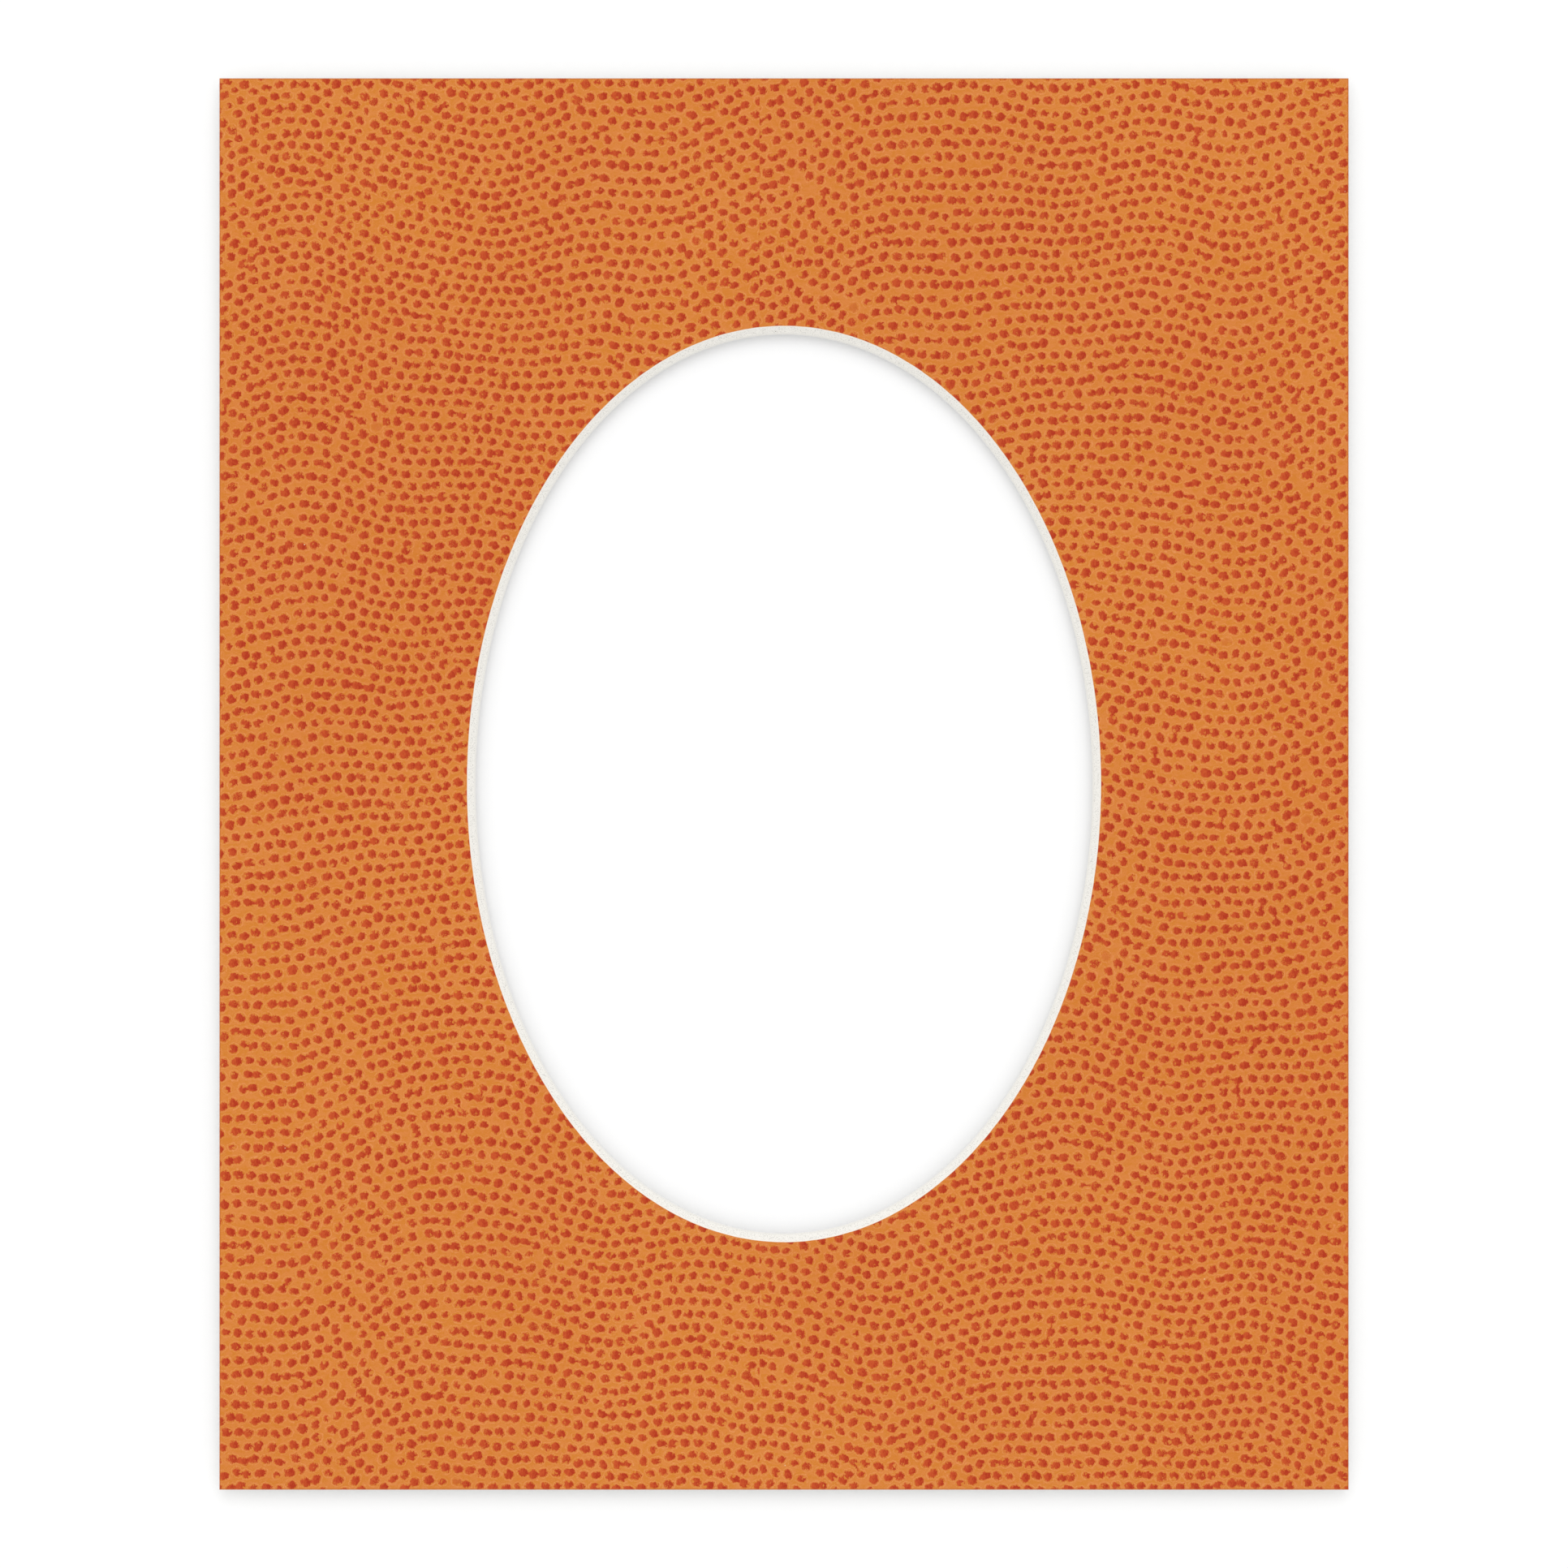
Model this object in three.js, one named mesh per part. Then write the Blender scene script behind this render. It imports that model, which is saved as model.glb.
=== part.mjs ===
// Picture mount: a rectangular board with an oval window, cut with a 45 degree bevel.
// A thick pale core board carries a thin coloured face paper, glued to it all over.
// Units are millimetres. The board lies on its back: +X right, +Y up the long side, +Z out of the face.
// The origin is the centre of the back face.

import * as THREE from 'three';

// Driving dimensions
const boardWidth = 203.2;
const boardHeight = 254;
const windowWidth = 114.3;
const windowHeight = 165.1;
const coreThickness = 1.45;
const facePaperThickness = 0.15;
const bevelAngle = THREE.MathUtils.degToRad(45);
const windowPoints = 360;

const faceHeight = coreThickness + facePaperThickness;

const facePaperFinish = new THREE.MeshStandardMaterial({
  color: '#d27640',
  roughness: 0.62,
  metalness: 0,
});

const coreBoardFinish = new THREE.MeshStandardMaterial({
  color: '#efebe4',
  roughness: 0.9,
  metalness: 0,
});

// The window's edge at the face, as an oval polygon with its points at equal steps of angle.
function windowOutline() {
  const points = [];
  for (let i = 0; i < windowPoints; i += 1) {
    const angle = (2 * Math.PI * i) / windowPoints;
    const x = (windowWidth / 2) * Math.cos(angle);
    const y = (windowHeight / 2) * Math.sin(angle);
    points.push(new THREE.Vector2(x, y));
  }
  return new THREE.Path(points);
}

function boardOutline() {
  const corner = new THREE.Vector2(boardWidth / 2, boardHeight / 2);
  return new THREE.Shape([
    new THREE.Vector2(-corner.x, -corner.y),
    new THREE.Vector2(corner.x, -corner.y),
    new THREE.Vector2(corner.x, corner.y),
    new THREE.Vector2(-corner.x, corner.y),
  ]);
}

// The oval's outward normal at a point on it.
function windowNormal(x, y) {
  return new THREE.Vector2(x / windowWidth ** 2, y / windowHeight ** 2).normalize();
}

// How far a point lies out from the oval: 1 on the oval itself, more outside it.
function windowReach(x, y) {
  return Math.hypot((2 * x) / windowWidth, (2 * y) / windowHeight);
}

// Moves the wall of the window in towards its centre, by as much as the blade's slope gives
// at each point's depth below the face, so that every layer's bevel is part of one slope.
function cutBevel(geometry) {
  const position = geometry.getAttribute('position');
  const onWindow = 1 + 1e-4;
  for (let i = 0; i < position.count; i += 1) {
    const x = position.getX(i);
    const y = position.getY(i);
    if (windowReach(x, y) < onWindow) {
      const depth = faceHeight - position.getZ(i);
      const shift = windowNormal(x, y).multiplyScalar(depth / Math.tan(bevelAngle));
      position.setXY(i, x - shift.x, y - shift.y);
    }
  }
  geometry.computeVertexNormals();
}

// One layer of the board, from its lower face up, with its share of the bevel.
function boardLayer(name, bottom, thickness, finish) {
  const outline = boardOutline();
  outline.holes.push(windowOutline());
  const geometry = new THREE.ExtrudeGeometry(outline, { depth: thickness, bevelEnabled: false });
  geometry.translate(0, 0, bottom);
  cutBevel(geometry);
  const mesh = new THREE.Mesh(geometry, finish);
  mesh.name = name;
  return mesh;
}

const pictureMount = new THREE.Group();
pictureMount.add(boardLayer('core_board', 0, coreThickness, coreBoardFinish));
pictureMount.add(boardLayer('face_paper', coreThickness, facePaperThickness, facePaperFinish));

export default pictureMount;
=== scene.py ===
"""Dresses a picture mount: a pale core board with a bevelled oval window under a pebbled orange paper.

The mount lies on its back, with its coloured face up. Lengths are in metres, apart from the layout
and the pattern of the pebbles, which are worked out in millimetres.
"""

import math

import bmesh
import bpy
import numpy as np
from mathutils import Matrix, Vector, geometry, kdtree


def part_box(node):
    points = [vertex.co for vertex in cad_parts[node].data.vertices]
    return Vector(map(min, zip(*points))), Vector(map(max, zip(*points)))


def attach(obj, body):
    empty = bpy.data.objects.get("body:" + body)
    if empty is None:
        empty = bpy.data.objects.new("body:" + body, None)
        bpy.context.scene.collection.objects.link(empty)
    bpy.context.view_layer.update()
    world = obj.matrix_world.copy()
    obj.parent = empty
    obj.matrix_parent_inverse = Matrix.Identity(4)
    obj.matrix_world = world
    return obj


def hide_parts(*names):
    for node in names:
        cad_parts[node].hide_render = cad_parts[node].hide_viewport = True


bl_info = {
    "name": "Picture Mount Dressing",
    "version": (1, 0, 0),
    "blender": (4, 5, 0),
    "location": "3D View > Sidebar > Picture Mount",
    "description": "Dresses a bevelled picture mount in pebbled paper on a pale core board",
    "category": "Object",
}

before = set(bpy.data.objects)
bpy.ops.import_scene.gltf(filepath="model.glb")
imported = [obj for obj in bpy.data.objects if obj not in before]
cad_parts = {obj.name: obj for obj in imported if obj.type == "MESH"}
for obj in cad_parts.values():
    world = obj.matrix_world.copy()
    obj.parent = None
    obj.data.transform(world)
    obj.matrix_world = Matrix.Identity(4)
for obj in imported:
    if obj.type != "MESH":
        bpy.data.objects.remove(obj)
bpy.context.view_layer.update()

MM = 0.001
LEVEL_SLACK = 0.01 * MM
CLEAR_OF_OUTLINE = 0.99
TINY = 1e-6
PHOTO_PIXELS = 1932
BOARD_PIXELS = 1739


def linear(red, green, blue):
    """A colour as seen on a screen, 0 to 255, as the shares that shaders work with."""
    shares = []
    for level in (red, green, blue):
        share = level / 255
        shares.append(share / 12.92 if share <= 0.04045 else ((share + 0.055) / 1.055) ** 2.4)
    return tuple(shares)


def mesh_points(mesh):
    """The corners of a mesh, in metres."""
    flat = np.empty(len(mesh.vertices) * 3)
    mesh.vertices.foreach_get("co", flat)
    return flat.reshape(-1, 3)


def window_reach(node, level):
    """Half the window's width and height in a CAD node, at the node's own lowest or highest level."""
    _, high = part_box(node)
    points = mesh_points(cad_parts[node].data)
    at_level = np.abs(points[:, 2] - level) < LEVEL_SLACK
    inner = CLEAR_OF_OUTLINE * np.array(high)
    off_outline = (np.abs(points[:, 0]) < inner[0]) & (np.abs(points[:, 1]) < inner[1])
    painted_rim_highlight = points[at_level & off_outline]
    return float(np.abs(painted_rim_highlight[:, 0]).max()), float(np.abs(painted_rim_highlight[:, 1]).max())


PAPER_LOW, PAPER_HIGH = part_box("face_paper")
CORE_LOW, CORE_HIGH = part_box("core_board")
WINDOW_AT_FACE = window_reach("face_paper", PAPER_HIGH.z)
WINDOW_AT_CORE = window_reach("core_board", CORE_HIGH.z)
WINDOW_AT_BACK = window_reach("core_board", CORE_LOW.z)
BOARD_WIDTH = PAPER_HIGH.x - PAPER_LOW.x
BOARD_HEIGHT = PAPER_HIGH.y - PAPER_LOW.y
BEVEL_SLOPE = (WINDOW_AT_FACE[0] - WINDOW_AT_BACK[0]) / (PAPER_HIGH.z - CORE_LOW.z)


def length(name, description, millimetres):
    """A length that a user can change."""
    return bpy.props.FloatProperty(
        name=name, description=description, default=millimetres * MM, min=0.0, precision=5, unit="LENGTH"
    )


def colour(name, description, *levels):
    """A colour that a user can change, given as it shows on a screen."""
    return bpy.props.FloatVectorProperty(
        name=name,
        description=description,
        default=linear(*levels),
        min=0.0,
        max=1.0,
        size=3,
        subtype="COLOR",
    )


class PebbleSettings(bpy.types.PropertyGroup):
    """Sizes of the pebbles on the face paper."""

    spacing: length("Spacing", "Distance between pebbles along a row", 2.27)
    row_spacing: length("Row spacing", "Distance from one row of pebbles to the next", 2.36)
    rise: length("Rise", "Height of a pebble's top above the dips round it", 0.075)
    ink_radius: length("Ink radius", "Usual radius of the ink on a pebble's top", 0.77)
    repeat_line: length("Repeat line", "How far left of the middle the pattern starts again", 4.4)
    seed: bpy.props.IntProperty(
        name="Seed", description="Number that the scatter of pebbles is drawn from", default=41, min=0
    )


class PaperColours(bpy.types.PropertyGroup):
    """Colours of the face paper."""

    mustard: colour("Mustard", "The yellower of the ground's two colours", 214, 128, 41)
    salmon: colour("Salmon", "The pinker of the ground's two colours", 221, 134, 63)
    # Painted highlight: a pale line where the slope round each pebble's foot catches light
    painted_rim_highlight: colour("Rim", "Pale line round the foot of each pebble", 233, 151, 91)
    # The two reds also carry painted shade: each dot is drawn deeper on its right and lighter on its left
    deep_ink: colour("Deep ink", "The darker of the two reds on the tops of the pebbles", 179, 47, 5)
    light_ink: colour("Light ink", "The lighter of the two reds", 203, 82, 30)
    wash: colour("Wash", "Tint of the broad patches where the face is a little redder", 244, 220, 214)
    cut: colour("Cut edge", "The coloured top of the paper, where the blade went through it", 190, 106, 54)
    pulp: colour("Pulp", "The paper's own pulp, which shows where it is cut", 240, 228, 212)
    pale_speck: colour("Pale speck", "Small specks where the colour has come off", 247, 226, 190)
    dark_speck: colour("Dark speck", "Small specks of dirt", 120, 70, 40)


class CoreColours(bpy.types.PropertyGroup):
    """Colours of the core board."""

    body: colour("Body", "The core's own pale colour", 249, 246, 239)
    fibre: colour("Fibre", "Fine grey fibres in the core", 199, 197, 192)
    # Painted shade: the foot colour darkens the lowest ply, where the cut meets the floor
    foot: colour("Foot", "The lowest ply of the core", 238, 236, 230)
    lip: colour("Lip", "The core right under the paper, which the blade left cleanest", 252, 247, 240)
    speck: colour("Speck", "Small dark specks in the core", 150, 148, 145)


class StageSettings(bpy.types.PropertyGroup):
    """The camera and the light."""

    camera_height: length("Camera height", "Distance from the mount's face to the camera", 2400)
    floor_drop: length("Floor drop", "How far below the mount's back the floor lies", 2.3)
    dome_strength: bpy.props.FloatProperty(
        name="Dome", description="Strength of the even light from all round", default=0.84, min=0.0
    )
    key_strength: bpy.props.FloatProperty(
        name="Key", description="Strength of the soft light from beyond the top edge", default=0.6, min=0.0
    )
    key_tilt: bpy.props.FloatProperty(
        name="Key tilt",
        description="How far the soft light leans towards the top edge",
        default=math.radians(27),
        subtype="ANGLE",
    )
    key_spread: bpy.props.FloatProperty(
        name="Key spread",
        description="How wide the soft light is, as an angle",
        default=math.radians(50),
        min=0.0,
        subtype="ANGLE",
    )


# Shader values


class Wire:
    """A shader value that Python's operators work on. Each operation adds a Math node."""

    def __init__(self, recipe, socket):
        self.recipe = recipe
        self.socket = socket

    def beside(self, output):
        """Another output of the same node."""
        return Wire(self.recipe, self.socket.node.outputs[output])

    def math_node(self, operation, *values):
        """A Math node on some values."""
        return self.recipe.node("ShaderNodeMath", {"operation": operation}, dict(enumerate(values)))

    def __add__(self, other):
        return self.math_node("ADD", self, other)

    def __radd__(self, other):
        return self.math_node("ADD", other, self)

    def __sub__(self, other):
        return self.math_node("SUBTRACT", self, other)

    def __rsub__(self, other):
        return self.math_node("SUBTRACT", other, self)

    def __mul__(self, other):
        return self.math_node("MULTIPLY", self, other)

    def __rmul__(self, other):
        return self.math_node("MULTIPLY", other, self)

    def __truediv__(self, other):
        return self.math_node("DIVIDE", self, other)

    def __rtruediv__(self, other):
        return self.math_node("DIVIDE", other, self)

    def root(self):
        """The value's square root."""
        return self.math_node("SQRT", self)

    def size(self):
        """The value without its sign."""
        return self.math_node("ABSOLUTE", self)

    def below(self, other):
        """1 where the value is less than the other, and 0 elsewhere."""
        return self.math_node("LESS_THAN", self, other)

    def least(self, other):
        """The lesser of the two values."""
        return self.math_node("MINIMUM", self, other)

    def most(self, other):
        """The greater of the two values."""
        return self.math_node("MAXIMUM", self, other)

    def melted(self, other, width):
        """The lesser of the two values, rounded over where they are nearly equal."""
        return self.math_node("SMOOTH_MIN", self, other, width)

    def held(self):
        """The value, kept between 0 and 1."""
        return self.least(1.0).most(0.0)


class Recipe:
    """A tree of shader nodes."""

    def __init__(self, tree):
        self.tree = tree
        self.tree.nodes.clear()

    def node(self, kind, settings=None, inputs=None, output=0):
        """Adds a node, sets its settings first and then its sockets, and gives one of its outputs."""
        made = self.tree.nodes.new(kind)
        for name, value in (settings or {}).items():
            setattr(made, name, value)
        for key, value in (inputs or {}).items():
            self.feed(made.inputs[key], value)
        return Wire(self, made.outputs[output]) if made.outputs else None

    def feed(self, socket, value):
        """Links a wire to a socket, or sets the socket to a plain value."""
        if isinstance(value, Wire):
            self.tree.links.new(value.socket, socket)
        elif isinstance(value, tuple) and len(value) == 3 and socket.type == "RGBA":
            socket.default_value = (*value, 1.0)
        else:
            socket.default_value = value


class Finish(Recipe):
    """A material made of nodes, ending in one Principled shader."""

    def __init__(self, name):
        self.material = bpy.data.materials.new(name)
        self.material.use_nodes = True
        super().__init__(self.material.node_tree)
        surface = self.node("ShaderNodeBsdfPrincipled")
        self.shader = surface.socket.node
        self.node("ShaderNodeOutputMaterial", None, {"Surface": surface})

    def set(self, name, value):
        """Feeds one socket of the Principled shader."""
        self.feed(self.shader.inputs[name], value)

    def place(self):
        """Where a point of the piece is, in millimetres."""
        spot = self.node("ShaderNodeTexCoord", output="Object")
        return self.vector("MULTIPLY", spot, (1 / MM, 1 / MM, 1 / MM))

    def vector(self, operation, first, second, output=0):
        """A Vector Math node on two vectors."""
        return self.node("ShaderNodeVectorMath", {"operation": operation}, {0: first, 1: second}, output)

    def parts(self, vector):
        """The three numbers of a vector."""
        first = self.node("ShaderNodeSeparateXYZ", None, {0: vector})
        return [first, first.beside(1), first.beside(2)]

    def attribute(self, name):
        """The three numbers that each face holds under a name."""
        return self.parts(self.node("ShaderNodeAttribute", {"attribute_name": name}, output="Vector"))

    def noise(self, place, scale, detail=2.0, roughness=0.5):
        """Cloudy values, about 0.5 on average. The scale may differ along the three axes."""
        if not isinstance(scale, tuple):
            scale = (scale, scale, scale)
        stretched = self.vector("MULTIPLY", place, scale)
        inputs = {"Vector": stretched, "Scale": 1.0, "Detail": detail, "Roughness": roughness}
        return self.node("ShaderNodeTexNoise", {"noise_dimensions": "3D"}, inputs)

    def fade(self, value, start, end):
        """0 where the value is at start or before it, 1 at end or past it, and smooth between."""
        inputs = {"Value": value, "From Min": start, "From Max": end}
        return self.node("ShaderNodeMapRange", {"interpolation_type": "SMOOTHSTEP"}, inputs)

    def blend(self, share, first, second, way="MIX"):
        """One colour passing into another, or else multiplied by it."""
        settings = {"data_type": "RGBA", "blend_type": way}
        return self.node("ShaderNodeMix", settings, {0: share, 6: first, 7: second}, 2)

    def specks(self, place, cell, radius, share):
        """Small round specks, one in some of the cells of a scatter."""
        inputs = {"Vector": self.vector("DIVIDE", place, (cell, cell, cell)), "Scale": 1.0}
        away = self.node("ShaderNodeTexVoronoi", None, inputs, "Distance")
        near = self.fade(away * cell, radius * 1.3, radius * 0.6)
        draw = self.parts(away.beside("Color"))[0]
        return near * draw.below(share)


# Face paper: where the pebbles are. Lengths are in millimetres. Each wave of the rows has its length
# across the board, its length up the board, its swing and its phase.

MARGIN = 4.0
ROW_WAVES = (
    (88.0, 600.0, 3.6, 0.5),
    (47.0, -400.0, 2.0, 2.2),
    (190.0, 400.0, 3.0, 4.1),
    (27.0, 300.0, 0.8, 1.1),
)
ROW_RISE = 0.06
SCATTER_ALONG = 0.19
SCATTER_ACROSS = 0.12
CLEAR_GAP = 1.1
SPREAD_ROUNDS = 4
SPREAD_NEIGHBOURS = 6
SPREAD_SHARE = 0.16
SPREAD_SQUEEZE = 0.97
ROW_SHIFT = (0.4, 0.14)
PATTERN_JUMP = (137.0, 61.0)

# How far one pebble's ink differs from the next. A bite's distance is in radii of the dot, and its
# size is in millimetres.

GAP_NEIGHBOURS = 4
SIZE_SCATTER = 0.065
SIZE_PER_ROOM = 0.4
SMALL_SHARE = 0.05
SMALL_SIZE = 0.72
RADIUS_LIMITS = (0.3, 1.0)
TURN_SCATTER = 0.4
STRETCH = (0.22, 0.14)
NOTCHES = {"share": 0.5, "distances": (0.75, 1.15), "sizes": (0.2, 0.42)}
HOLES = {"share": 0.2, "distances": (0.1, 0.75), "sizes": (0.06, 0.12)}
FAINT_SHARE = 0.0015
FAINT_STRENGTH = (0.15, 0.6)

# How pebbles run together. Lengths are in millimetres, and angles in radians.

LINK_NEIGHBOURS = 5
CROWD_LENGTH = (9.0, 7.0)
ALONG_ROW = 0.6
CHANCE_IN_ROW = 0.03
CHANCE_IN_CROWD = 0.21
CHANCE_ACROSS = 0.012
SURE_DISTANCE = 1.9
CHAIN_REACH = 2.7
PULL = (0.03, 0.15)
NECK_WIDTH = (0.74, 0.1)
NECK_THINNING = 0.5
NECK_LIMITS = (0.1, 0.45)


def row_height(x, y):
    """How far the rows of pebbles rise and dip at a place."""
    height = ROW_RISE * x
    for length_x, length_y, swing, phase in ROW_WAVES:
        height = height + swing * np.sin(2 * math.pi * (x / length_x + y / length_y) + phase)
    return height


def row_slope(x, y):
    """The rows' slope at a place."""
    step = 0.5
    return (row_height(x + step, y) - row_height(x - step, y)) / (2 * step)


def search_tree(places):
    """A tree that finds the places nearest to a point."""
    tree = kdtree.KDTree(len(places))
    for index, (x, y) in enumerate(places):
        tree.insert((x, y, 0.0), index)
    tree.balance()
    return tree


def spread_out(places, gap):
    """Moves places that are nearer to each other than a gap apart, a little in each round."""
    places = places * (1.0, SPREAD_SQUEEZE)
    for _ in range(SPREAD_ROUNDS):
        tree = search_tree(places)
        moved = places.copy()
        for index, (x, y) in enumerate(places):
            for near, other, distance in tree.find_n((x, y, 0.0), SPREAD_NEIGHBOURS + 1):
                if other != index and TINY < distance < gap:
                    push = SPREAD_SHARE * (gap / distance - 1)
                    moved[index] += (push * (x - near.x), push * (y - near.y))
        places = moved
    return places / (1.0, SPREAD_SQUEEZE)


def pebble_rows(draws, settings, left, right, jump):
    """The pebbles' centres between two upright lines, in rows that sway, with a margin all round."""
    spacing = settings.spacing / MM
    row_spacing = settings.row_spacing / MM
    half_height = BOARD_HEIGHT / MM / 2 + MARGIN
    sway = sum(swing for _, _, swing, _ in ROW_WAVES) + ROW_RISE * BOARD_WIDTH / MM / 2
    levels = np.arange(-half_height - sway, half_height + sway, row_spacing)
    starts = np.cumsum(draws.normal(*ROW_SHIFT, len(levels))) % 1.0
    places = []
    for level, start in zip(levels, starts, strict=True):
        x = np.arange(left - MARGIN, right + MARGIN + spacing, spacing) + (start - 1.0) * spacing
        x = x + draws.normal(0.0, SCATTER_ALONG * spacing, len(x))
        y = level + row_height(x + jump[0], level + jump[1]) - row_height(jump[0], jump[1])
        y = y + draws.normal(0.0, SCATTER_ACROSS * row_spacing, len(x))
        places.append(np.column_stack((x, y)))
    places = np.concatenate(places)
    inside = (np.abs(places[:, 1]) < half_height) & (places[:, 0] < right + MARGIN)
    return spread_out(places[inside], CLEAR_GAP * spacing)


class PebbleSheet:
    """The pebbles of one stretch of the paper, with the shape of the ink on each."""

    def __init__(self, draws, settings, left, right, jump):
        self.places = pebble_rows(draws, settings, left, right, jump)
        self.slopes = row_slope(self.places[:, 0] + jump[0], self.places[:, 1] + jump[1])
        self.chain_links = self.pick_links(draws, search_tree(self.places))
        self.draw_together(draws)
        self.tree = search_tree(self.places)
        self.gaps = self.neighbour_gaps()
        self.radii = self.ink_radii(draws, settings)
        self.lay = self.ink_lay(draws)
        self.notches = self.bites(draws, **NOTCHES)
        self.holes = self.bites(draws, **HOLES)
        self.tones = self.ink_tones(draws)
        self.joined = self.joined_halves(draws)

    def neighbour_gaps(self):
        """The mean distance to the few nearest pebbles, for each pebble."""
        gaps = []
        for x, y in self.places:
            near = self.tree.find_n((x, y, 0.0), GAP_NEIGHBOURS + 1)
            gaps.append(sum(distance for _, _, distance in near) / GAP_NEIGHBOURS)
        return np.array(gaps)

    def ink_radii(self, draws, settings):
        """The dots' radii, larger where there is more room, with some scatter."""
        room = self.gaps / self.gaps.mean() - 1
        scatter = draws.normal(0.0, SIZE_SCATTER, len(self.places))
        small = np.where(draws.random(len(self.places)) < SMALL_SHARE, SMALL_SIZE, 1.0)
        radii = settings.ink_radius / MM * (1 + SIZE_PER_ROOM * room + scatter) * small
        return np.clip(radii, *RADIUS_LIMITS)

    def ink_lay(self, draws):
        """The direction along which each dot is longest, and the root of how much longer."""
        turn = np.arctan(self.slopes) + draws.normal(0.0, TURN_SCATTER, len(self.places))
        stretch = np.sqrt(1 + np.abs(draws.normal(*STRETCH, len(self.places))))
        return np.column_stack((np.cos(turn), np.sin(turn), stretch))

    def bites(self, draws, share, distances, sizes):
        """Round pieces missing from some of the dots: a place and a radius for each."""
        count = len(self.places)
        turn = draws.uniform(0, 2 * math.pi, count)
        away = draws.uniform(*distances, count) * self.radii
        size = np.where(draws.random(count) < share, draws.uniform(*sizes, count), -1.0)
        x = self.places[:, 0] + away * np.cos(turn)
        y = self.places[:, 1] + away * np.sin(turn)
        return np.column_stack((x, y, size))

    def ink_tones(self, draws):
        """How strong the ink is on each pebble, how light it is, and a number of the pebble's own."""
        count = len(self.places)
        faint = draws.random(count) < FAINT_SHARE
        strength = np.where(faint, draws.uniform(*FAINT_STRENGTH, count), 1.0)
        return np.column_stack((strength, draws.normal(0.0, 1.0, count), draws.random(count)))

    def pick_links(self, draws, tree):
        """Pairs of neighbours whose ink runs together, with at most two of them to a pebble."""
        links = []
        filled = np.zeros(len(self.places), int)
        patch = draws.uniform(0, 2 * math.pi, 2)
        for index, (x, y) in enumerate(self.places):
            across_x = math.sin(x / CROWD_LENGTH[0] + patch[0])
            across_y = math.sin(y / CROWD_LENGTH[1] + patch[1])
            crowd = 0.5 + 0.5 * across_x * across_y
            for near, other, distance in tree.find_n((x, y, 0.0), LINK_NEIGHBOURS + 1):
                if other <= index:
                    continue
                along = abs(math.atan2(near.y - y, near.x - x) - math.atan(self.slopes[index]))
                in_row = min(along, abs(math.pi - along)) < ALONG_ROW
                usual = CHANCE_IN_ROW + CHANCE_IN_CROWD * crowd if in_row else CHANCE_ACROSS
                chance = usual + max(0.0, SURE_DISTANCE - distance)
                free = max(filled[index], filled[other]) < 2
                if draws.random() < chance and distance < CHAIN_REACH and free:
                    links.append((index, other))
                    filled[[index, other]] += 1
        return links

    def draw_together(self, draws):
        """Moves the pebbles of each pair nearer to each other."""
        moved = self.places.copy()
        for index, other in self.chain_links:
            way = draws.uniform(*PULL) * (self.places[other] - self.places[index])
            moved[index] += way
            moved[other] -= way
        self.places = moved

    def joined_halves(self, draws):
        """For each pebble, half the way to the pebbles that its ink runs into, and the ink's half width."""
        joined = np.zeros((len(self.places), 2, 3))
        joined[:, :, 2] = -1.0
        filled = np.zeros(len(self.places), int)
        for index, other in self.chain_links:
            half = (self.places[other] - self.places[index]) / 2
            width = draws.normal(*NECK_WIDTH) - NECK_THINNING * np.linalg.norm(half)
            width = np.clip(width, *NECK_LIMITS)
            joined[index, filled[index]] = (*half, width)
            joined[other, filled[other]] = (*-half, width)
            filled[[index, other]] += 1
        return joined


# Face paper: its mesh. Lengths are in millimetres.

BOUNDARY_STEP = 0.6
WINDOW_STEPS = 720
CLEAR_OF_LINES = 0.16
FLAT_AREA = 1e-9
SMOOTH_ANGLE = math.radians(30)

# How wide a saddle may be, and where a shoulder is, as shares of the distance between pebbles. How far
# a pebble reaches where the paper is cut, as a share of the spacing.

WIDEST_SADDLE = 2
SHOULDER_PLACE = 0.56
EDGE_REACH = 0.5

# Heights on a pebble, as shares of the rise of a usual one

LOWEST_TOP = 0.6
HIGHEST_TOP = 1.25
SHOULDER_HEIGHT = 0.72
SADDLE_HEIGHT = 0.12
SADDLE_LIFT = 0.45


def board_loop():
    """Points round the board's outline, anticlockwise, in millimetres."""
    half = (BOARD_WIDTH / MM / 2, BOARD_HEIGHT / MM / 2)
    corners = [(-half[0], -half[1]), (half[0], -half[1]), (half[0], half[1]), (-half[0], half[1])]
    points = []
    for start, end in zip(corners, corners[1:] + corners[:1], strict=True):
        steps = round(math.dist(start, end) / BOUNDARY_STEP)
        shares = np.arange(steps)[:, None] / steps
        points.append((1 - shares) * start + shares * end)
    return np.concatenate(points)


def window_loop():
    """Points round the window's edge at the face, anticlockwise, in millimetres."""
    turn = 2 * math.pi * np.arange(WINDOW_STEPS) / WINDOW_STEPS
    half = np.array(WINDOW_AT_FACE) / MM
    return np.column_stack((half[0] * np.cos(turn), half[1] * np.sin(turn)))


def window_shift(points):
    """The way from the window's edge towards its middle, one millimetre long, at points on the edge."""
    half = np.array(WINDOW_AT_FACE) / MM
    inward = -points / half**2
    return inward / np.linalg.norm(inward, axis=1)[:, None]


def window_ratio(points):
    """1 on the window's edge, less inside the window and more outside it."""
    half = np.array(WINDOW_AT_FACE) / MM
    return np.hypot(points[:, 0] / half[0], points[:, 1] / half[1])


def repeat_lines(place):
    """The two stretches of the line where the pattern starts again, above and below the window."""
    half = np.array(WINDOW_AT_FACE) / MM
    at_window = half[1] * math.sqrt(1 - (place / half[0]) ** 2)
    at_edge = BOARD_HEIGHT / MM / 2
    stretches = []
    for side in (-1, 1):
        steps = round((at_edge - at_window) / BOUNDARY_STEP)
        y = side * np.linspace(at_window, at_edge, steps + 1)[1:-1]
        stretches.append(np.column_stack((np.full(len(y), place), y)))
    return stretches


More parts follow.
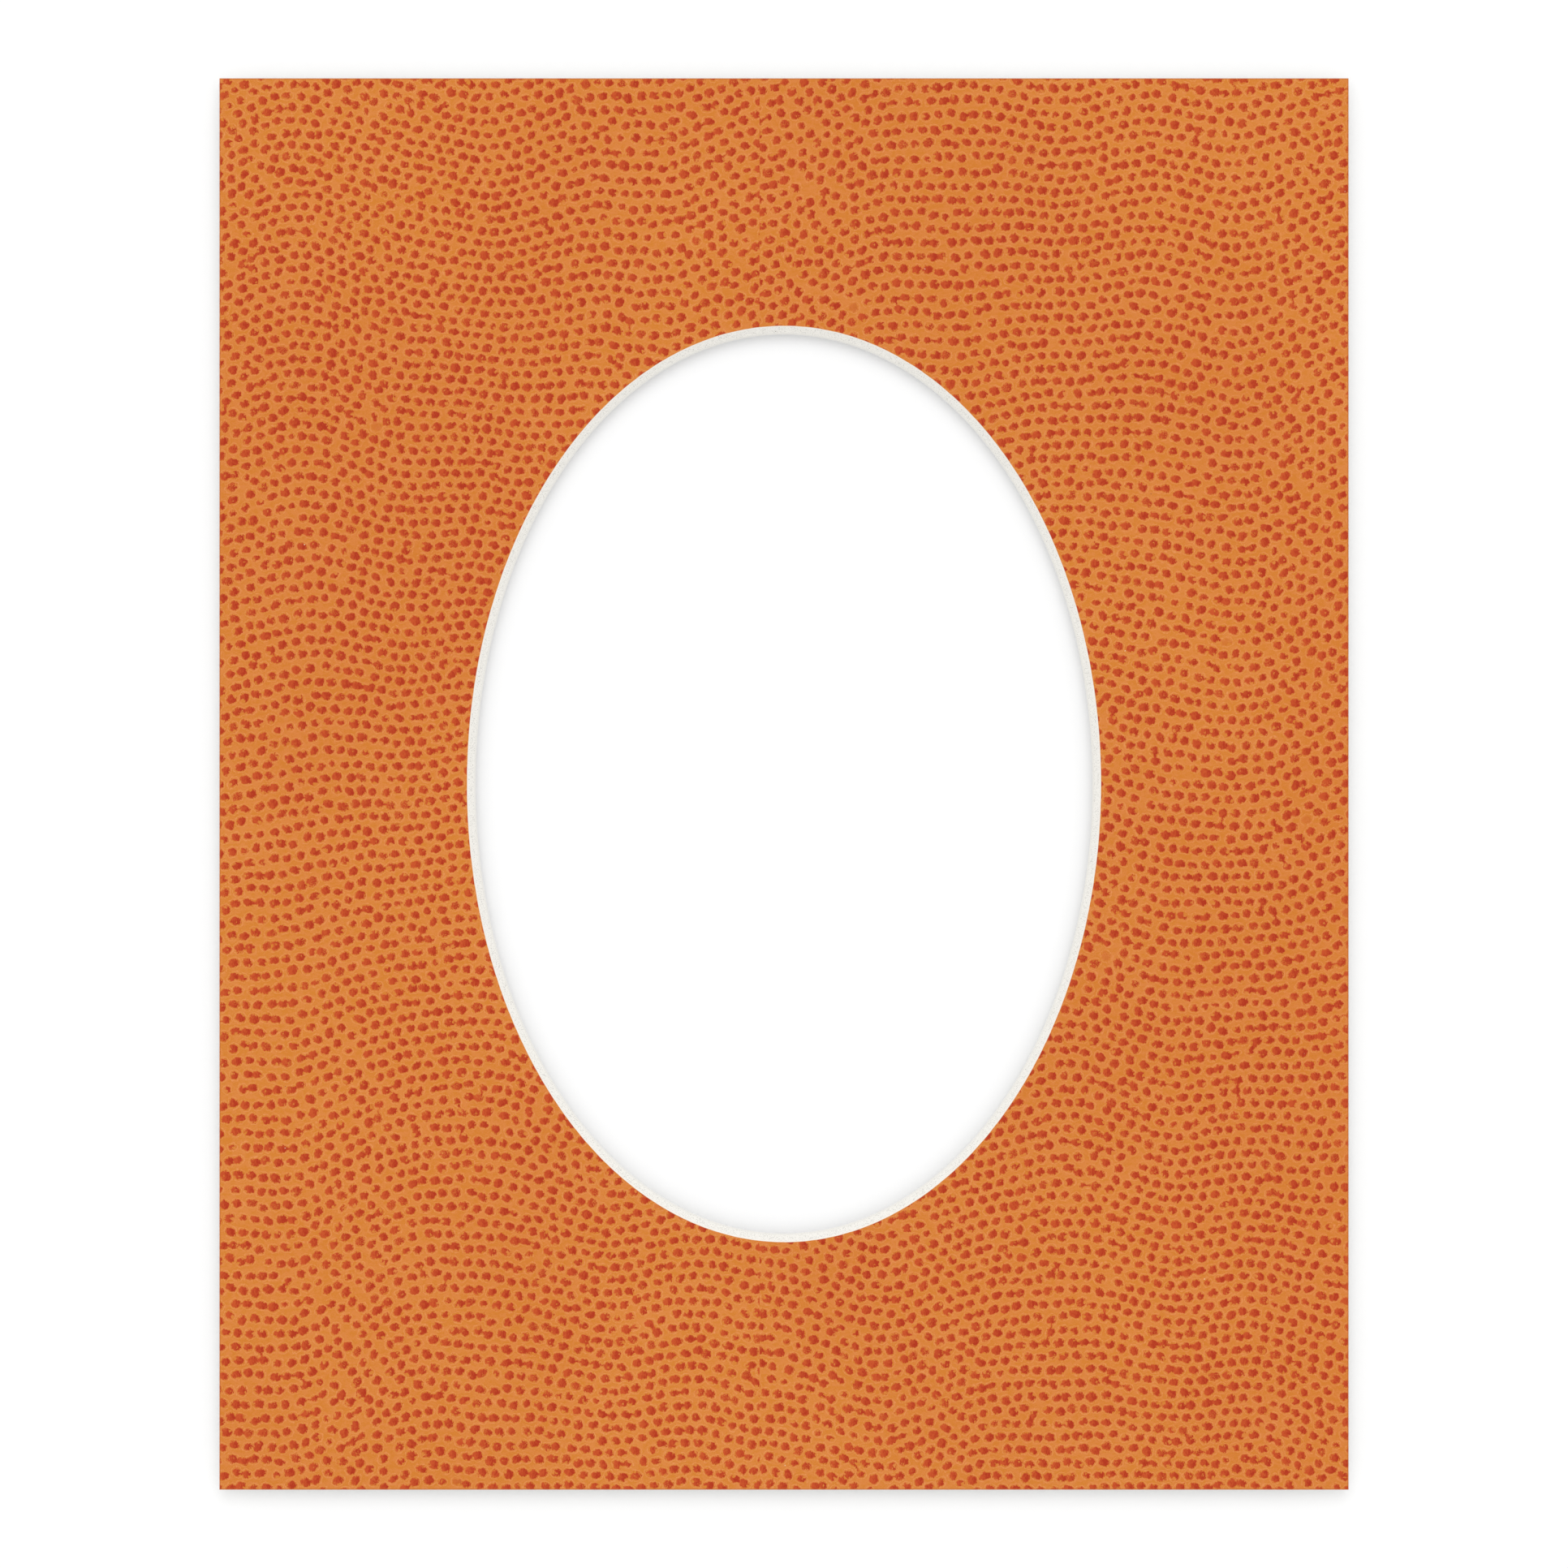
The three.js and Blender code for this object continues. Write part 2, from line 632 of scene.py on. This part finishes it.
def triangles_of(places, edges):
    """Joins places into triangles that keep to the given edges, all facing up."""
    made = geometry.delaunay_2d_cdt([Vector(place) for place in places], edges, [], 0, TINY)
    if len(made[0]) != len(places):
        raise RuntimeError("the paper's outline crosses itself")
    first = np.array([sources[0] for sources in made[3]])
    faces = first[np.array(made[2])]
    a, b, c = places[faces[:, 0]], places[faces[:, 1]], places[faces[:, 2]]
    twice_area = (b[:, 0] - a[:, 0]) * (c[:, 1] - a[:, 1]) - (b[:, 1] - a[:, 1]) * (c[:, 0] - a[:, 0])
    wide = np.abs(twice_area) > FLAT_AREA
    faces = faces[wide]
    down = twice_area[wide] < 0
    faces[down] = faces[down][:, ::-1]
    return faces


def relief_points(sheet):
    """Points that shape the pebbles of a sheet: the tops, the shoulders, the saddles and the dips.
    Each row is a place and a height, which is 1 on top of a usual pebble and 0 in a dip."""
    places = sheet.places
    faces = triangles_of(places, [])
    pairs = np.sort(np.concatenate((faces[:, :2], faces[:, 1:], faces[:, ::2])), axis=1)
    pairs = np.unique(pairs, axis=0)
    span = np.linalg.norm(places[pairs[:, 0]] - places[pairs[:, 1]], axis=1)
    pairs = pairs[span < WIDEST_SADDLE * sheet.gaps.mean()]
    size = np.clip(sheet.radii / sheet.radii.mean(), LOWEST_TOP, HIGHEST_TOP)
    middles = (places[pairs[:, 0]] + places[pairs[:, 1]]) / 2
    joined = np.zeros(len(pairs))
    for row, (first, second) in enumerate(pairs):
        half = middles[row] - places[first]
        match = np.linalg.norm(sheet.joined[first, :, :2] - half, axis=1) < TINY
        joined[row] = np.any(match & (sheet.joined[first, :, 2] > 0))
    groups = [np.column_stack((places, size))]
    for end in (pairs[:, 0], pairs[:, 1]):
        shoulder = places[end] + SHOULDER_PLACE * (middles - places[end])
        groups.append(np.column_stack((shoulder, SHOULDER_HEIGHT * size[end])))
    groups.append(np.column_stack((middles, SADDLE_HEIGHT + SADDLE_LIFT * joined)))
    dips = places[faces].mean(axis=1)
    groups.append(np.column_stack((dips, np.zeros(len(dips)))))
    return np.concatenate(groups)


def away_from_lines(points, repeat_line):
    """Which points lie on the paper, clear of its outline, its window and the repeat line."""
    half = np.array((BOARD_WIDTH, BOARD_HEIGHT)) / MM / 2 - CLEAR_OF_LINES
    on_board = np.all(np.abs(points) < half, axis=1)
    window = np.array(WINDOW_AT_FACE) / MM
    out_of_window = window_ratio(points) > 1 + CLEAR_OF_LINES / window.min()
    return on_board & out_of_window & (np.abs(points[:, 0] - repeat_line) > CLEAR_OF_LINES / 2)


def nearest(sheets, repeat_line, points):
    """For each point: the sheet on whose side of the repeat line it lies, the nearest pebble there, and
    how far off that pebble is."""
    side = (points[:, 0] > repeat_line).astype(int)
    found = [sheets[half].tree.find((x, y, 0.0)) for half, (x, y) in zip(side, points, strict=True)]
    index = np.array([hit[1] for hit in found])
    distance = np.array([hit[2] for hit in found])
    return side, index, distance


def pebble_values(sheets, side, index, middles, on_top):
    """The numbers that the pattern reads on each face, by name. An ink strength of -1 marks the faces
    that have no pattern: the cut edges and the back."""
    right = side[:, None] == 1

    def picked(values):
        """Reads each sheet at its own points. At the other sheet's points it is read at its start."""
        return np.where(right, values(sheets[1])[index * side], values(sheets[0])[index * (1 - side)])

    centre = picked(lambda sheet: sheet.places)
    values = {
        "pebble": np.column_stack((centre, picked(lambda sheet: sheet.radii[:, None]))),
        "lay": picked(lambda sheet: sheet.lay),
        "notch": picked(lambda sheet: sheet.notches),
        "hole": picked(lambda sheet: sheet.holes),
        "tone": picked(lambda sheet: sheet.tones),
    }
    one = picked(lambda sheet: sheet.joined[:, 0])
    two = picked(lambda sheet: sheet.joined[:, 1])
    out = middles - centre
    toward_one = (out * one[:, :2]).sum(axis=1)
    toward_two = (out * two[:, :2]).sum(axis=1)
    use_two = (two[:, 2] > 0) & (toward_two > toward_one)
    values["joined"] = np.where(use_two[:, None], two, one)
    values["tone"][~on_top, 0] = -1.0
    return values


def pebble_sheets(settings, repeat_line):
    """The pebbles on the left of the repeat line, and those on its right."""
    half_width = BOARD_WIDTH / MM / 2
    draws = np.random.default_rng(settings.seed)
    return (
        PebbleSheet(draws, settings, -half_width, repeat_line, (0.0, 0.0)),
        PebbleSheet(draws, settings, repeat_line, half_width, PATTERN_JUMP),
    )


def face_relief(sheets, repeat_line):
    """The points that shape the pebbles of both sheets, each on its own side of the repeat line."""
    relief = []
    for sheet, sign in zip(sheets, (-1, 1), strict=True):
        points = relief_points(sheet)
        own_side = sign * (points[:, 0] - repeat_line) > 0
        relief.append(points[own_side & away_from_lines(points[:, :2], repeat_line)])
    return np.concatenate(relief)


def loop_edges(start, count):
    """The edges that join a run of points into a closed loop."""
    return [(start + i, start + (i + 1) % count) for i in range(count)]


def outside_window(faces, points):
    """The faces whose middles lie outside the window."""
    return faces[window_ratio(points[faces].mean(axis=1)) > 1]


def wall_faces(board_count, window_count, top_count):
    """The faces of the cut edges, which join the rims on top to those at the back and face outwards."""
    walls = []
    for start, count, sign in ((0, board_count, 1), (board_count, window_count, -1)):
        here = start + np.arange(count)
        after = start + (np.arange(count) + 1) % count
        if sign < 0:
            here, after = after, here
        walls.append(np.column_stack((here + top_count, after + top_count, after, here)))
    return np.concatenate(walls)


def paper_mesh(settings):
    """The face paper as a closed sheet: pebbled on top, flat below, cut square outside and sloping at
    the window. It carries the pebbles' numbers on its faces."""
    repeat_line = -settings.repeat_line / MM
    sheets = pebble_sheets(settings, repeat_line)
    relief = face_relief(sheets, repeat_line)
    board = board_loop()
    window = window_loop()
    rims = np.concatenate((board, window))
    stretches = repeat_lines(repeat_line)
    flat = np.concatenate((rims, *stretches))
    _, _, distance = nearest(sheets, repeat_line, flat)
    reach = EDGE_REACH * settings.spacing / MM
    cut_heights = np.clip(1 - (distance / reach) ** 2, 0.0, 1.0)
    top = np.concatenate((flat, relief[:, :2]))
    heights = np.concatenate((cut_heights, relief[:, 2]))

    rim_edges = loop_edges(0, len(board)) + loop_edges(len(board), len(window))
    edges = list(rim_edges)
    start = len(rims)
    for stretch in stretches:
        edges += [(start + i, start + i + 1) for i in range(len(stretch) - 1)]
        start += len(stretch)
    top_faces = outside_window(triangles_of(top, edges), top)
    back_faces = outside_window(triangles_of(rims, rim_edges), rims)[:, ::-1] + len(top)
    walls = wall_faces(len(board), len(window), len(top))

    rise = settings.rise / MM
    face_level = PAPER_HIGH.z / MM
    level = face_level - rise * HIGHEST_TOP + rise * heights
    at_window = slice(len(board), len(rims))
    sloped = top.copy()
    depth = (face_level - level[at_window])[:, None]
    sloped[at_window] += BEVEL_SLOPE * depth * window_shift(window)
    back = rims.copy()
    thickness = face_level - PAPER_LOW.z / MM
    back[at_window] += BEVEL_SLOPE * thickness * window_shift(window)
    vertices = np.concatenate((
        np.column_stack((sloped, level)),
        np.column_stack((back, np.full(len(back), PAPER_LOW.z / MM))),
    ))

    faces = [*top_faces.tolist(), *walls.tolist(), *back_faces.tolist()]
    mesh = bpy.data.meshes.new("pebbled_paper")
    mesh.from_pydata((vertices * MM).tolist(), [], faces)
    middles = np.concatenate((
        top[top_faces].mean(axis=1),
        vertices[walls, :2].mean(axis=1),
        vertices[back_faces, :2].mean(axis=1),
    ))
    on_top = np.arange(len(faces)) < len(top_faces)
    side, index, _ = nearest(sheets, repeat_line, middles)
    for name, values in pebble_values(sheets, side, index, middles, on_top).items():
        attribute = mesh.attributes.new(name, "FLOAT_VECTOR", "FACE")
        attribute.data.foreach_set("vector", values.astype(np.float32).ravel())
    lay_out_map(mesh, len(top_faces), len(walls))
    return mesh


# Face paper: its map, in shares of the map's width

FACE_MAP_SHARE = 0.998
BACK_MAP_SHARE = 0.42
WALL_MAP_SHARE = 0.16
WALL_MAP_ROWS = 12
WALL_MAP_STEP = 0.012
WALL_MAP_FILL = 0.8


def lay_out_map(mesh, top_count, wall_count):
    """A map that gives nearly all its room to the face. The back fits in the window's place on it, and
    the cut edges in the window's place on the back."""
    layer = mesh.uv_layers.new(name="OFBake")
    corners = np.empty(len(mesh.loops), int)
    mesh.loops.foreach_get("vertex_index", corners)
    share = mesh_points(mesh)[corners, :2] / (BOARD_WIDTH, BOARD_HEIGHT)
    spots = 0.5 + FACE_MAP_SHARE * share
    top_corners = 3 * top_count
    wall_corners = 4 * wall_count
    back = slice(top_corners + wall_corners, None)
    spots[back] = 0.5 + BACK_MAP_SHARE * share[back]
    along = np.arange(wall_count) / wall_count * WALL_MAP_ROWS
    row = np.floor(along)
    left = 0.5 + WALL_MAP_SHARE * (along - row - 0.5)
    right = left + WALL_MAP_SHARE * WALL_MAP_ROWS / wall_count
    low = 0.5 + WALL_MAP_STEP * (row - WALL_MAP_ROWS / 2)
    high = low + WALL_MAP_FILL * WALL_MAP_STEP
    boxes = np.stack((left, low, right, low, right, high, left, high), axis=1)
    spots[top_corners:top_corners + wall_corners] = boxes.reshape(-1, 2)
    layer.data.foreach_set("uv", spots.astype(np.float32).ravel())


# Face paper: its finish. Lengths are in millimetres.

INK_BLUR = 0.07
NECK_ROUNDING = 0.12
# How far the painted side shade on the ink reaches, in radii of the dot
PAINTED_SHADE_REACH = 1.5
# Where the painted rim highlight starts and ends outside the ink's edge, in millimetres
RIM_HIGHLIGHT_INSIDE = (0.2, 0.28)
RIM_HIGHLIGHT_OUTSIDE = (0.4, 0.32)
EDGE_LINE = (0.24, 0.08)
COAT_FOOT = PAPER_LOW.z / MM + 0.05
COAT_BLUR = 0.06


def ink_edge(finish, x, y):
    """Signed distances to the edge of the ink, in millimetres and below zero inside it: once with the
    bites taken out of it, and once without. Then the painted shade across the dot: deeper on the right
    of its pebble and lighter on its left, as if lit from the left, from about -0.56 to 0.56."""
    centre_x, centre_y, radius = finish.attribute("pebble")
    along_x, along_y, stretch = finish.attribute("lay")
    from_x = x - centre_x
    from_y = y - centre_y
    along = (from_x * along_x + from_y * along_y) / stretch
    across = (from_y * along_x - from_x * along_y) * stretch
    dot = (along * along + across * across).root() - radius

    half_x, half_y, width = finish.attribute("joined")
    reach = (half_x * half_x + half_y * half_y).most(0.001)
    share = ((from_x * half_x + from_y * half_y) / reach).held()
    gap_x = from_x - half_x * share
    gap_y = from_y - half_y * share
    neck = (gap_x * gap_x + gap_y * gap_y).root() - width
    whole = dot.melted(neck, NECK_ROUNDING)

    bitten = whole
    for name in ("notch", "hole"):
        bite_x, bite_y, size = finish.attribute(name)
        off_x = x - bite_x
        off_y = y - bite_y
        bitten = bitten.most(size - (off_x * off_x + off_y * off_y).root())
    # Painted shade: the ink is drawn deeper on its pebble's right side and lighter on its left, as if lit
    # from the left
    sideways = from_x / radius
    return bitten, whole, sideways * (PAINTED_SHADE_REACH - sideways.size()).most(0.0)


def paper_finish(colours):
    """Orange paper with a fine mottle, ragged red ink on its pebbles with painted shade on their right
    sides, and a pale rim round each, which is a painted highlight.
    """
    finish = Finish("pebbled_paper")
    place = finish.place()
    x, y, z = finish.parts(place)

    # The ink: its edge, its broken texture, and the spatter and the pale rim round it
    drift = finish.noise(place, 1.6, 2.0) - 0.5
    lean = finish.noise(finish.vector("ADD", place, (31.0, 17.0, 5.0)), 1.5, 2.0) - 0.5
    bitten, whole, painted_side_shade = ink_edge(finish, x + 0.85 * drift, y + 0.75 * lean)
    teeth = finish.noise(place, (8.0, 2.4, 3.0), 2.0, 0.65) - 0.5
    crumbs = finish.noise(place, 8.5, 1.0) - 0.5
    strength, lightness, own = finish.attribute("tone")
    torn = finish.fade(finish.noise(place, 0.85, 1.0), 0.36, 0.62)
    ragged = bitten + (0.4 + 0.8 * torn) * teeth + 0.3 * crumbs
    pits = finish.fade(finish.noise(place, (6.5, 5.0, 5.0), 1.0), 0.56, 0.64)
    pitted = pits * finish.fade(own + 0.2 * torn, 0.98, 1.08)
    ink = finish.fade(ragged, INK_BLUR, -INK_BLUR) * (strength.most(0.0) - 0.8 * pitted).most(0.0)
    spatter = finish.specks(place, 0.8, 0.1, 0.15) * finish.fade(bitten, 0.42, 0.3) * torn
    # The ink: its edge, its broken texture and painted side shade, the spatter, and the pale rim round it,
    # a painted highlight
    ink = ink.most(0.9 * spatter * strength.most(0.0))
    # Painted highlight: a pale ring just outside the ink, where each pebble's slope catches light
    rim_highlight_line = whole + 0.2 * teeth
    painted_rim_highlight = finish.fade(rim_highlight_line, *RIM_HIGHLIGHT_INSIDE) * finish.fade(rim_highlight_line, *RIM_HIGHLIGHT_OUTSIDE)

    # The ground's mottle, and the painted highlight of the rim on it
    clouds = finish.noise(place, (0.85, 1.35, 1.0), 3.0, 0.66)
    streaks = finish.noise(place, (4.6, 2.0, 3.0), 2.0, 0.6)
    wide = finish.noise(place, (0.05, 0.09, 0.1), 2.0)
    grain = finish.noise(place, (4.0, 6.5, 5.0), 2.0, 0.6)
    ground = finish.fade(clouds + 0.2 * (wide - 0.5) + 0.8 * (grain - 0.5), 0.34, 0.66)
    base = finish.blend(ground, tuple(colours.mustard), tuple(colours.salmon))
    broken = finish.fade(streaks + 0.4 * (grain - 0.5), 0.3, 0.55)
    base = finish.blend(0.8 * painted_rim_highlight * broken, base, tuple(colours.painted_rim_highlight))

    # The face: the ink on the ground, a faint tint over both, specks, and a line along the cut
    # The ink's tone: random streaks and lightness, plus painted shade that deepens each pebble's right side
    tone_and_painted_shade = (0.5 + 2.4 * (streaks - 0.5) + 0.1 * lightness - 0.6 * painted_side_shade).held()
    red = finish.blend(tone_and_painted_shade, tuple(colours.deep_ink), tuple(colours.light_ink))
    patches = finish.fade(finish.noise(place, (0.014, 0.011, 0.02), 2.0), 0.36, 0.64)
    face = finish.blend(0.28 * patches, finish.blend(ink, base, red), tuple(colours.wash), "MULTIPLY")
    pale = finish.specks(place, 3.6, 0.1, 0.06)
    face = finish.blend(0.8 * pale, face, tuple(colours.pale_speck))
    dark = finish.specks(finish.vector("ADD", place, (53.0, 91.0, 0.0)), 4.1, 0.11, 0.07)
    face = finish.blend(0.55 * dark, face, tuple(colours.dark_speck))
    inwards = (BOARD_WIDTH / MM / 2 - x.size()).least(BOARD_HEIGHT / MM / 2 - y.size())
    face = finish.blend(0.7 * finish.fade(inwards, *EDGE_LINE), face, tuple(colours.cut))

    # The cut edge and the back: pale pulp under the coat of colour
    coat = finish.fade(z, COAT_FOOT, COAT_FOOT + COAT_BLUR)
    cut = finish.blend(coat, tuple(colours.pulp), tuple(colours.cut))
    finish.set("Base Color", finish.blend(strength.below(-0.5), face, cut))

    finish.set("Roughness", 0.62 - 0.1 * ink + 0.12 * (grain - 0.5))
    finish.set("Specular IOR Level", 0.2)
    tooth = finish.noise(place, 9.0, 3.0, 0.6)
    bump = {"Strength": 0.25, "Distance": 0.02 * MM, "Height": tooth}
    finish.set("Normal", finish.node("ShaderNodeBump", None, bump))
    return finish.material


# Core board

OUTLINE_SHARE = 0.499
WINDOW_SLACK = 0.01
RIM_ROUNDING = 0.12 * MM
CORE_SMOOTH_ANGLE = math.radians(25)


def core_shape():
    """The core board, modelled from a plane and a circle: bridged, raised and opened out at the top."""
    steps_per_side = WINDOW_STEPS // 4
    bpy.ops.object.select_all(action="DESELECT")
    bpy.ops.mesh.primitive_plane_add(size=1, location=(0, 0, 0))
    core = bpy.context.object
    core.name = "bevelled_core"
    bpy.ops.object.mode_set(mode="EDIT")
    bpy.ops.mesh.delete(type="ONLY_FACE")
    bpy.ops.mesh.select_all(action="SELECT")
    bpy.ops.mesh.subdivide(number_cuts=steps_per_side - 1)
    bpy.ops.transform.resize(value=(BOARD_WIDTH, BOARD_HEIGHT, 1))
    bpy.ops.mesh.select_all(action="DESELECT")
    bpy.ops.mesh.primitive_circle_add(vertices=WINDOW_STEPS, radius=1, fill_type="NOTHING")
    bpy.ops.transform.resize(value=(*WINDOW_AT_BACK, 1))
    bpy.ops.mesh.select_all(action="SELECT")
    bpy.ops.mesh.bridge_edge_loops()
    bpy.ops.mesh.select_all(action="SELECT")
    raised = {"value": (0, 0, CORE_HIGH.z - CORE_LOW.z)}
    bpy.ops.mesh.extrude_region_move(TRANSFORM_OT_translate=raised)
    pick_edges(core, CORE_HIGH.z - CORE_LOW.z, on_window)
    wider = (WINDOW_AT_CORE[0] / WINDOW_AT_BACK[0], WINDOW_AT_CORE[1] / WINDOW_AT_BACK[1], 1)
    bpy.ops.transform.resize(value=wider)
    bpy.ops.mesh.select_all(action="SELECT")
    bpy.ops.mesh.normals_make_consistent(inside=False)
    pick_edges(core, 0.0, on_outline)
    bpy.ops.mesh.bevel(offset=RIM_ROUNDING, segments=2, affect="EDGES")
    bpy.ops.mesh.select_all(action="SELECT")
    bpy.ops.transform.translate(value=(0, 0, CORE_LOW.z))
    bpy.ops.object.mode_set(mode="OBJECT")
    bpy.ops.object.shade_smooth_by_angle(angle=CORE_SMOOTH_ANGLE)
    bpy.ops.object.transform_apply(location=True, rotation=True, scale=True)
    return core


def on_outline(place):
    """Whether a corner lies on the board's outline."""
    return max(abs(place.x) / BOARD_WIDTH, abs(place.y) / BOARD_HEIGHT) > OUTLINE_SHARE


def on_window(place):
    """Whether a corner lies on the window's edge at the back."""
    reach = math.hypot(place.x / WINDOW_AT_BACK[0], place.y / WINDOW_AT_BACK[1])
    return abs(reach - 1) < WINDOW_SLACK


def pick_edges(core, level, wanted):
    """Selects the edges at a level whose ends are both wanted."""
    bpy.ops.mesh.select_mode(type="EDGE")
    bpy.ops.mesh.select_all(action="DESELECT")
    mesh = bmesh.from_edit_mesh(core.data)
    for edge in mesh.edges:
        at_level = all(abs(vertex.co.z - level) < LEVEL_SLACK for vertex in edge.verts)
        edge.select_set(at_level and all(wanted(vertex.co) for vertex in edge.verts))
    bmesh.update_edit_mesh(core.data)


def core_finish(colours):
    """Pale pulp with fine grey fibres, in plies that show faintly where it is cut. The lowest ply's darker
    tone is painted shade along the foot of the cut, where it meets the floor.
    """
    finish = Finish("core_pulp")
    place = finish.place()
    _, _, z = finish.parts(place)
    swirl = finish.noise(place, 1.4, 2.0)
    fibres = finish.noise(place, (4.2, 5.4, 6.5), 3.0, 0.68)
    flecks = finish.fade(fibres + 0.12 * (swirl - 0.5), 0.52, 0.64)
    pulp = finish.blend(0.85 * flecks, tuple(colours.body), tuple(colours.fibre))
    # Painted shade: the lowest ply is drawn darker, along the foot of the cut next to the floor
    painted_foot_shade = finish.fade(z + 0.12 * (swirl - 0.5), 0.36, 0.22)
    pulp = finish.blend(0.8 * painted_foot_shade, pulp, tuple(colours.foot))
    pulp = finish.blend(0.8 * finish.fade(z, 1.2, 1.38), pulp, tuple(colours.lip))
    dark = finish.specks(place, 1.7, 0.13, 0.12)
    pulp = finish.blend(0.8 * dark, pulp, tuple(colours.speck))
    finish.set("Base Color", pulp)
    finish.set("Roughness", 0.88 + 0.1 * (swirl - 0.5))
    finish.set("Specular IOR Level", 0.2)
    pits = finish.noise(place, 6.0, 3.0, 0.6)
    bump = {"Strength": 0.5, "Distance": 0.03 * MM, "Height": pits}
    finish.set("Normal", finish.node("ShaderNodeBump", None, bump))
    return finish.material


# Stage

FLOOR_SIZE = 8
FLOOR_WHITE = linear(236, 236, 236)
FLOOR_GLOW = 0.2
SENSOR_WIDTH = 36
FARTHEST_SEEN = 100


def floor_finish():
    """A white floor that shows pure white to the camera where nothing shades it."""
    finish = Finish("floor_white")
    finish.set("Base Color", FLOOR_WHITE)
    finish.set("Roughness", 0.95)
    finish.set("Specular IOR Level", 0.0)
    seen = finish.node("ShaderNodeLightPath", output="Is Camera Ray")
    mirrored = seen.beside("Is Glossy Ray")
    through = seen.beside("Is Transmission Ray")
    finish.set("Emission Color", (1.0, 1.0, 1.0))
    finish.set("Emission Strength", FLOOR_GLOW * seen.most(mirrored).most(through))
    return finish.material


def world_light(strength):
    """Even light from all round, which the camera sees as plain white."""
    world = bpy.data.worlds.new("even_light")
    bpy.context.scene.world = world
    world.use_nodes = True
    recipe = Recipe(world.node_tree)
    seen = recipe.node("ShaderNodeLightPath", output="Is Camera Ray")
    inputs = {"Color": (1.0, 1.0, 1.0), "Strength": strength + (1.0 - strength) * seen}
    light = recipe.node("ShaderNodeBackground", None, inputs)
    recipe.node("ShaderNodeOutputWorld", None, {"Surface": light})


# Operators


def finished(piece, node, material):
    """Puts a material on a piece, and has it stand for a CAD node."""
    piece.data.materials.clear()
    piece.data.materials.append(material)
    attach(piece, "root")
    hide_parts(node)


class MOUNT_OT_stage(bpy.types.Operator):
    """Sets up the white floor, the soft light and the camera above the mount"""

    bl_idname = "picture_mount.stage"
    bl_label = "Set the stage"

    def execute(self, context):
        settings = context.scene.mount_stage
        bpy.ops.object.select_all(action="DESELECT")
        floor_level = CORE_LOW.z - settings.floor_drop
        bpy.ops.mesh.primitive_plane_add(size=FLOOR_SIZE, location=(0, 0, floor_level))
        floor = context.object
        floor.name = "floor"
        floor.data.materials.append(floor_finish())
        world_light(settings.dome_strength)
        bpy.ops.object.light_add(type="SUN", rotation=(-settings.key_tilt, 0, 0))
        key = context.object
        key.name = "key_light"
        key.data.energy = settings.key_strength
        key.data.angle = settings.key_spread
        above = PAPER_HIGH.z + settings.camera_height
        bpy.ops.object.camera_add(location=(0, 0, above), rotation=(0, 0, 0))
        camera = context.object
        camera.data.sensor_width = SENSOR_WIDTH
        framed = BOARD_HEIGHT * PHOTO_PIXELS / BOARD_PIXELS
        camera.data.lens = SENSOR_WIDTH * settings.camera_height / framed
        camera.data.clip_end = FARTHEST_SEEN
        context.scene.camera = camera
        context.scene.view_settings.view_transform = "Standard"
        return {"FINISHED"}


class MOUNT_OT_core(bpy.types.Operator):
    """Models the core board with its bevelled window"""

    bl_idname = "picture_mount.core"
    bl_label = "Core board"

    def execute(self, context):
        core = core_shape()
        finished(core, "core_board", core_finish(context.scene.mount_core))
        return {"FINISHED"}


class MOUNT_OT_paper(bpy.types.Operator):
    """Lays out the pebbles and makes the face paper from them"""

    bl_idname = "picture_mount.paper"
    bl_label = "Face paper"

    def execute(self, context):
        mesh = paper_mesh(context.scene.mount_pebbles)
        paper = bpy.data.objects.new("pebbled_paper", mesh)
        context.collection.objects.link(paper)
        bpy.ops.object.select_all(action="DESELECT")
        paper.select_set(True)
        context.view_layer.objects.active = paper
        bpy.ops.object.shade_smooth_by_angle(angle=SMOOTH_ANGLE)
        finished(paper, "face_paper", paper_finish(context.scene.mount_paper))
        return {"FINISHED"}


class MOUNT_PT_sidebar(bpy.types.Panel):
    """Lists the mount's pieces and their settings"""

    bl_label = "Picture Mount"
    bl_idname = "MOUNT_PT_sidebar"
    bl_space_type = "VIEW_3D"
    bl_region_type = "UI"
    bl_category = "Picture Mount"

    def draw(self, context):
        layout = self.layout
        for operator in (MOUNT_OT_stage, MOUNT_OT_core, MOUNT_OT_paper):
            layout.operator(operator.bl_idname)
        for settings in SETTINGS:
            group = getattr(context.scene, settings)
            for name in group.__annotations__:
                layout.prop(group, name)


SETTINGS = {
    "mount_pebbles": PebbleSettings,
    "mount_paper": PaperColours,
    "mount_core": CoreColours,
    "mount_stage": StageSettings,
}
CLASSES = (*SETTINGS.values(), MOUNT_OT_stage, MOUNT_OT_core, MOUNT_OT_paper, MOUNT_PT_sidebar)


def register():
    """Adds the classes, and the settings to each scene."""
    for made in CLASSES:
        bpy.utils.register_class(made)
    for name, group in SETTINGS.items():
        setattr(bpy.types.Scene, name, bpy.props.PointerProperty(type=group))


def unregister():
    """Takes the settings and the classes away again."""
    for name in SETTINGS:
        delattr(bpy.types.Scene, name)
    for made in reversed(CLASSES):
        bpy.utils.unregister_class(made)


def main():
    """Sets the stage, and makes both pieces."""
    register()
    bpy.ops.picture_mount.stage()
    bpy.ops.picture_mount.core()
    bpy.ops.picture_mount.paper()
    bpy.context.view_layer.update()


if __name__ == "__main__":
    main()
